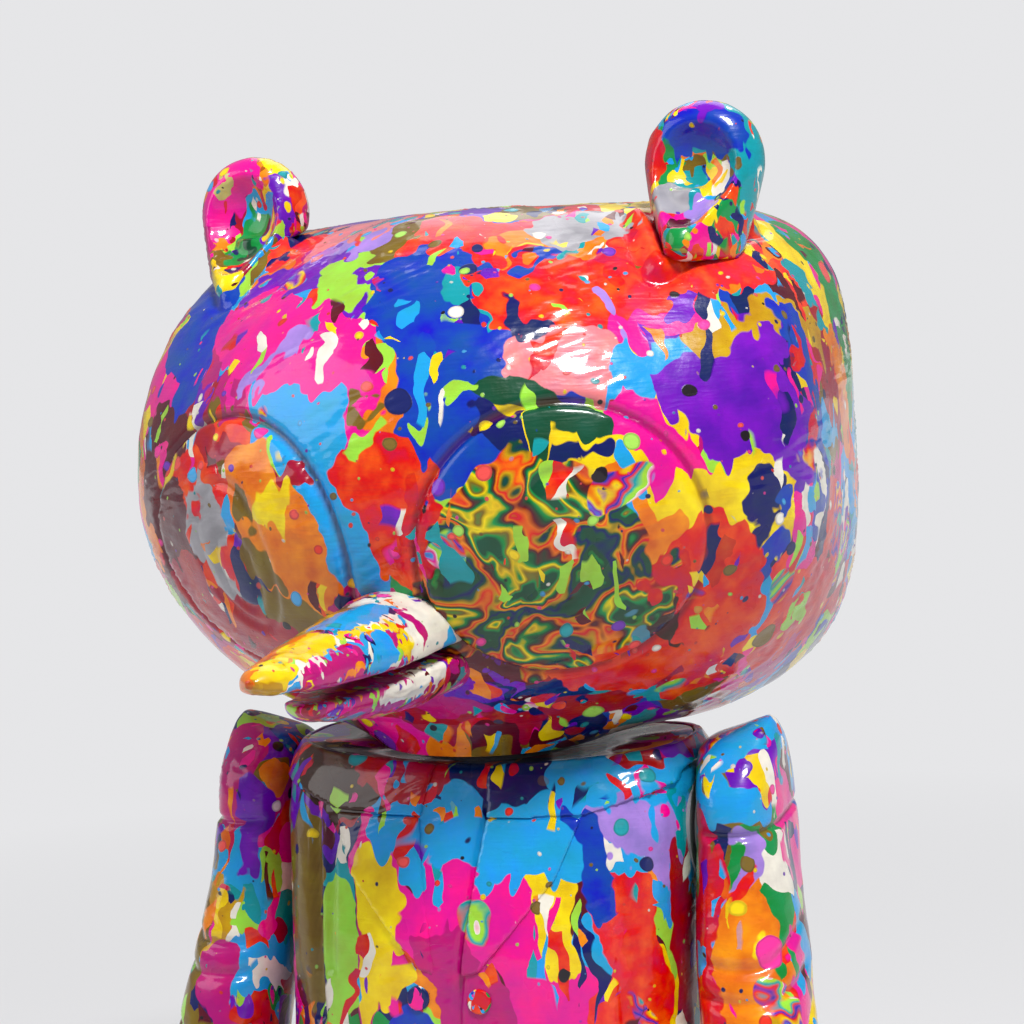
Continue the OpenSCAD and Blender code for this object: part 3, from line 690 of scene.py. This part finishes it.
# Strokes on the body's front: colour, x and height at each end, radius
BODY_STROKES = (
    ("violet", -33, 104, -26, 96, 6), ("magenta", -34, 96, -30, 84, 6), ("olive", -28, 94, -26, 72, 4),
    # The brown, crimson and navy strokes along the top of the front lie under the head; their dark tones are
    # partly painted shadow of the head and partly the paint's own colour
    ("brown", -24, 105, -12, 102, 7), ("crimson", -10, 105, -2, 100, 6), ("navy", 4, 105, 16, 102, 6),
    ("sky", 20, 104, 33, 100, 6), ("lavender", 26, 98, 32, 94, 4), ("lime", -20, 84, -18, 70, 4),
    ("pink", -12, 90, -2, 80, 5), ("pink", 4, 90, 18, 70, 8), ("magenta", 0, 76, 6, 66, 5),
    ("yellow", -12, 88, -10, 74, 4.4), ("yellow", 16, 89, 18, 80, 4), ("sky", -9, 97, 18, 95, 6),
    ("coral", 24, 90, 25, 68, 3.4), ("royal", 22, 98, 24, 86, 3), ("scarlet", 28, 88, 30, 60, 3.6),
    ("crimson", 33, 90, 33, 60, 3.4), ("royal", -6, 62, 12, 58, 6), ("orange", -20, 62, -14, 50, 6),
    ("teal", 12, 54, 20, 46, 5), ("violet", -8, 50, 2, 44, 5), ("yellow", 24, 56, 30, 48, 4),
)


# Strokes on the beak, ears and sleeves: colour, start, end and radius, from the head's centre, the ear's
# centre and the sleeve's middle at floor height
BEAK_PATCHES = ("cream", "sky", "cream", "magenta")
UPPER_BEAK_STROKES = (
    ("cream", (5, -38, -13), (9, -46, -19), 5), ("olive", (-7, -48, -14), (-5, -66, -16), 4.5),
    ("mustard", (-3, -50, -12), (-2, -70, -14), 2.6), ("sky", (2, -50, -13), (0, -60, -14), 3),
    ("sky", (7, -57, -18), (6, -60, -20), 2.6), ("orange", (0, -82, -18), (1, -68, -14.6), 3),
    ("yellow", (1, -80, -17), (2, -66, -14.6), 2.2), ("magenta", (4, -72, -19), (6, -65, -18), 2.4),
    ("orange", (5, -67, -20.6), (6, -64, -19.8), 1.6), ("yellow", (6, -52, -15), (3, -64, -14.4), 0.9),
    ("yellow", (8, -51, -17), (8, -52, -18), 1.6), ("magenta", (5, -47, -12.6), (8, -46, -17), 1.5),
    ("magenta", (8, -50, -21), (5, -72, -21), 0.9), ("mustard", (0, -83, -18.6), (1, -81, -19), 1.6),
)
LOWER_BEAK_STROKES = (
    ("cream", (8.6, -41, -24), (7, -55, -25), 1.8), ("sky", (8, -46, -26.4), (7.4, -48, -26.6), 1.3),
    ("steel", (3, -60, -27), (1, -61, -27), 1.5), ("crimson", (3, -62, -24), (1, -70, -24), 1.4),
)
EAR_STROKES = {
    "left": (
        ("teal", (7, -2, 7), (9, -2, -8), 4), ("royal", (-2, -5, 5), (5, -4, 5), 4),
        ("violet", (1, -1, 9), (3, -1, 9), 2), ("navy", (-3, -6, 1), (5, -6, 0), 1.8),
        ("red", (-8, -3, 6), (-8, -3, -8), 2.8), ("grey", (-4, -6, -4), (-4, -6, -15), 3),
        ("lime", (1, -7, -2), (2, -7, -3), 2.2), ("lavender", (1, -7, -7), (1, -7, -11), 2.4),
        ("scarlet", (5, -7, -4), (5, -7, -5), 1.4), ("scarlet", (4, -7, -9), (4, -7, -10), 1.6),
        ("lime", (8, -5, -8), (7, -5, -12), 1.6), ("teal", (5, -6, -12), (6, -6, -13), 1.4),
        ("sky", (1, -7, -14), (2, -7, -14), 1.2),
    ),
    "right": (
        ("pink", (-7, -4, 3), (-2, -4, 8), 5), ("green", (1, -5, 1), (1, -5, -4), 3.4),
        ("pink", (-2, -6, 4), (3, -6, 4), 2), ("magenta", (-8, -4, -4), (-5, -4, -8), 3),
        ("violet", (6, -4, 6), (8, -4, 0), 2.4), ("yellow", (9, -3, 5), (10, -3, 0), 1.4),
        ("forest", (1, -6, -2), (2, -6, -5), 1.6), ("green", (-1, -5, -9), (4, -5, -11), 3),
    ),
}
SLEEVE_STROKES = {
    "left": (
        ("sky", (-6, -6, 106), (0, 8, 106), 6), ("sky", (-9, -10, 100), (0, -12, 98), 3),
        ("violet", (4, -8, 100), (5, -8, 96), 2.4),
        ("lavender", (-2, -13, 92), (-4, -15, 80), 2.6), ("orange", (-1, -16, 84), (0, -20, 66), 4.6),
        ("yellow", (2, -16, 84), (2, -20, 76), 2.4), ("red", (-9, -13, 94), (-8, -20, 60), 3.6),
        ("pink", (6, -8, 92), (7, -14, 60), 3.4), ("mustard", (3, -20, 70), (2, -22, 62), 2),
        ("scarlet", (-3, -14, 88), (0, -15, 90), 1.8),
    ),
    "right": (
        ("magenta", (2, -8, 104), (3, -10, 98), 7), ("olive", (-3, -8, 92), (-3, -16, 70), 5),
        ("violet", (7, -13, 98), (7, -16, 88), 3.4), ("mustard", (2, -16, 84), (2, -20, 74), 2),
        ("magenta", (3, -20, 70), (3, -22, 58), 4), ("olive", (-5, -6, 100), (-5, -8, 92), 3),
        ("red", (-4, -10, 96), (-4, -10, 95), 2),
    ),
}


def placed(strokes, origin):
    """Strokes moved from their own origin into the toy's frame."""
    origin = np.array(origin)
    return [(colour, origin + start, origin + end, radius) for colour, start, end, radius in strokes]


def head_strokes():
    """HEAD_STROKES in the toy's frame."""
    return [(c, on_face(f1, b1), on_face(f2, b2), r) for c, f1, b1, f2, b2, r in HEAD_STROKES]


def body_strokes():
    """BODY_STROKES on the jacket's front, in the toy's frame."""
    return [
        (c, (x1, AXIS_Y + jacket_y(x1, z1), z1), (x2, AXIS_Y + jacket_y(x2, z2), z2), r)
        for c, x1, z1, x2, z2, r in BODY_STROKES
    ]


def paint(obj, material):
    """Gives a piece its only material."""
    obj.data.materials.clear()
    obj.data.materials.append(material)


def plain(name, colour, rough):
    """Moulded plastic with a faint grain."""
    t = Tree(name)
    place = t.scaled(t.node("ShaderNodeTexCoord").outputs["Object"], 1 / MM)
    tone = t.noise(place, 2, 3)
    shade = t.mix(t.math("MULTIPLY", tone, 0.5), srgb(colour), srgb("black"))
    bump = t.node("ShaderNodeBump", {
        "Strength": 0.3, "Distance": 0.05 * MM, "Height": t.noise(place, 0.4, 2),
    })
    shader = t.node("ShaderNodeBsdfPrincipled", {
        "Base Color": shade, "Roughness": t.math("MULTIPLY_ADD", tone, 0.2, rough),
        "Normal": bump.outputs[0],
    })
    t.put(t.node("ShaderNodeOutputMaterial").inputs["Surface"], shader.outputs[0])
    return t.material


# ---------------------------------------------------------------- the toy

head = build_head()
# The eyes' centres, for the painted shade in their engraved outer rings
eye_ring_shade_centres = [on_face(f, EYE_DROP) for f in (-EYE_ANGLE, EYE_ANGLE)]
paint(head, painted("head_paint", head_strokes(), marble=(on_face(32, 106), 17), rings=eye_ring_shade_centres))

upper_beak = build_mandible("beak_upper", UPPER_BEAK, "upper_beak", 11.0, -1)
lower_beak = build_mandible("beak_lower", LOWER_BEAK, "lower_beak", 12.0, 1)
paint(upper_beak, painted(
    "beak_paint", placed(UPPER_BEAK_STROKES, CENTRE), BEAK_PATCHES, seed=2.0, grain=0.35, pool_edge=0.9
))
paint(lower_beak, painted(
    "lower_beak_paint", placed(LOWER_BEAK_STROKES, CENTRE), ("magenta", "pink"), seed=3.0, grain=0.35,
    pool_edge=0.9
))

for side, name in ((1, "left"), (-1, "right")):
    ear = coated(name + "_ear_painted", name + "_ear", "head", 0.42, 24, 0.6, 13.0 + side)
    tones = placed(EAR_STROKES[name], CENTRE + EARS[name])
    paint(ear, painted(name + "_ear_paint", tones, seed=4.0 + side, grain=0.5, pool_edge=0.8))

jacket = build_jacket()
jacket_paint = painted("jacket_paint", body_strokes(), seed=6.0)
paint(jacket, jacket_paint)
for node in ("collar", "left_lapel", "right_lapel"):
    paint(coated(node + "_painted", node, "torso", 0.4, 3, 0.35, 15.0), jacket_paint)
buttons = coated("buttons_painted", "buttons", "torso", 0.25, 3, 0.1, 16.0)
paint(buttons, painted("button_paint", seed=7.0, grain=0.4))

for side, name in ((1, "left"), (-1, "right")):
    sleeve = build_sleeve(side)
    tones = placed(SLEEVE_STROKES[name], (side * SLEEVE_MIDDLE, AXIS_Y, 0))
    paint(sleeve, painted(name + "_sleeve_paint", tones, seed=8.0 + side))
    limb_paint = painted(name + "_limb_paint", seed=10.0 + side)
    fist = coated(name + "_fist_painted", name + "_hand", name + "_fist", 0.45, 3, 0.3, 17.0 + side)
    paint(fist, limb_paint)
    paint(coated(name + "_leg_painted", name + "_leg", "torso", 0.6, 3, 0.7, 19.0 + side), limb_paint)
    paint(coated(name + "_shoe_painted", name + "_shoe", "torso", 0.6, 3, 0.5, 21.0 + side), limb_paint)

rubber = plain("sole_plastic", "black", 0.4)
inner = plain("joint_plastic", "grey", 0.35)
cast_weight = plain("weight_iron", "steel", 0.5)
for name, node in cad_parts.items():
    if not node.hide_render:
        chosen = rubber if "sole" in name else cast_weight if name == "ballast" else inner
        node.data.materials.clear()
        node.data.materials.append(chosen)

# ---------------------------------------------------------------- studio

PALE = (0.79, 0.79, 0.805)
WALL_LIGHT = 0.36
# The camera in degrees and mm: its direction from the head and its roll, then its distance and how far its
# axis passes to the right of the head's centre and below it
AZIMUTH, ELEVATION, ROLL = 21.0, 5.4, 3.46
DISTANCE, RIGHTWARD, DOWNWARD = 352, 4.48, 5.64
LENS = 77.3


def direction(azimuth, elevation):
    a, e = math.radians(azimuth), math.radians(elevation)
    return Vector((math.sin(a) * math.cos(e), -math.cos(a) * math.cos(e), math.sin(e)))


def build_floor():
    """A pale disc that fades into the pale surround, so that no horizon shows."""
    radii = (0.2, 0.5, 1, 2, 6)
    sides = 96
    turns = [2 * math.pi * i / sides for i in range(sides)]
    points, faces = [(0, 0, 0)], []
    for r in radii:
        points += [(r * math.cos(turn), r * math.sin(turn), 0) for turn in turns]
    for i in range(sides):
        faces.append((0, 1 + i, 1 + (i + 1) % sides))
        for k in range(len(radii) - 1):
            a, b = 1 + k * sides + i, 1 + k * sides + (i + 1) % sides
            faces.append((a, a + sides, b + sides, b))
    mesh = bpy.data.meshes.new("floor")
    mesh.from_pydata(points, [], faces)
    floor = bpy.data.objects.new("floor", mesh)
    bpy.context.scene.collection.objects.link(floor)
    t = Tree("floor_pale")
    place = t.node("ShaderNodeTexCoord").outputs["Object"]
    fade = t.step(t.vector("LENGTH", place, out="Value"), 0.3, 0.34)
    near = t.node("ShaderNodeBsdfDiffuse", {"Color": (0.68, 0.68, 0.69, 1)})
    far = t.node("ShaderNodeEmission", {"Color": (*PALE, 1), "Strength": 1.0})
    both = t.node("ShaderNodeMixShader", {0: fade, 1: near.outputs[0], 2: far.outputs[0]})
    t.put(t.node("ShaderNodeOutputMaterial").inputs["Surface"], both.outputs[0])
    mesh.materials.append(t.material)


def build_world():
    """The camera sees the pale studio; the light from it is dimmer, as from grey walls."""
    world = bpy.data.worlds.new("studio")
    world.use_nodes = True
    tree = world.node_tree
    background = tree.nodes["Background"]
    background.inputs["Color"].default_value = (*PALE, 1)
    seen = tree.nodes.new("ShaderNodeLightPath").outputs["Is Camera Ray"]
    strength = tree.nodes.new("ShaderNodeMapRange")
    strength.inputs["To Min"].default_value = WALL_LIGHT
    strength.inputs["To Max"].default_value = 1.0
    tree.links.new(seen, strength.inputs["Value"])
    tree.links.new(strength.outputs["Result"], background.inputs["Strength"])
    bpy.context.scene.world = world


def area_light(name, azimuth, elevation, distance, size, power):
    """A square soft light that stands in that direction from the head, distance and size in metres."""
    data = bpy.data.lights.new(name, "AREA")
    data.size = size
    data.energy = power
    lamp = bpy.data.objects.new(name, data)
    bpy.context.scene.collection.objects.link(lamp)
    away = direction(azimuth, elevation)
    lamp.location = Vector(CENTRE) * MM + away * distance
    lamp.rotation_euler = away.to_track_quat("Z", "Y").to_euler()


def build_camera():
    """The camera of the fixed view, rolled a little about its own axis."""
    azimuth, roll = math.radians(AZIMUTH), math.radians(ROLL)
    back = direction(AZIMUTH, ELEVATION)
    right = Vector((math.cos(azimuth), math.sin(azimuth), 0))
    up = back.cross(right)
    data = bpy.data.cameras.new("camera")
    data.sensor_width = 36
    data.lens = LENS
    data.clip_start, data.clip_end = 0.01, 20
    camera = bpy.data.objects.new("camera", data)
    bpy.context.scene.collection.objects.link(camera)
    turned_right = right * math.cos(roll) - up * math.sin(roll)
    turned_up = right * math.sin(roll) + up * math.cos(roll)
    turn = Matrix((turned_right, turned_up, back)).transposed()
    place = (Vector(CENTRE) + right * RIGHTWARD - up * DOWNWARD + back * DISTANCE) * MM
    camera.matrix_world = Matrix.Translation(place) @ turn.to_4x4()
    bpy.context.scene.camera = camera


build_floor()
build_world()
area_light("window", 45, 57, 0.9, 0.2, 9)
area_light("fill", -60, 30, 1.2, 0.8, 4)
area_light("rim", 190, 50, 1.2, 0.8, 3)
build_camera()
bpy.context.scene.view_settings.view_transform = "Standard"
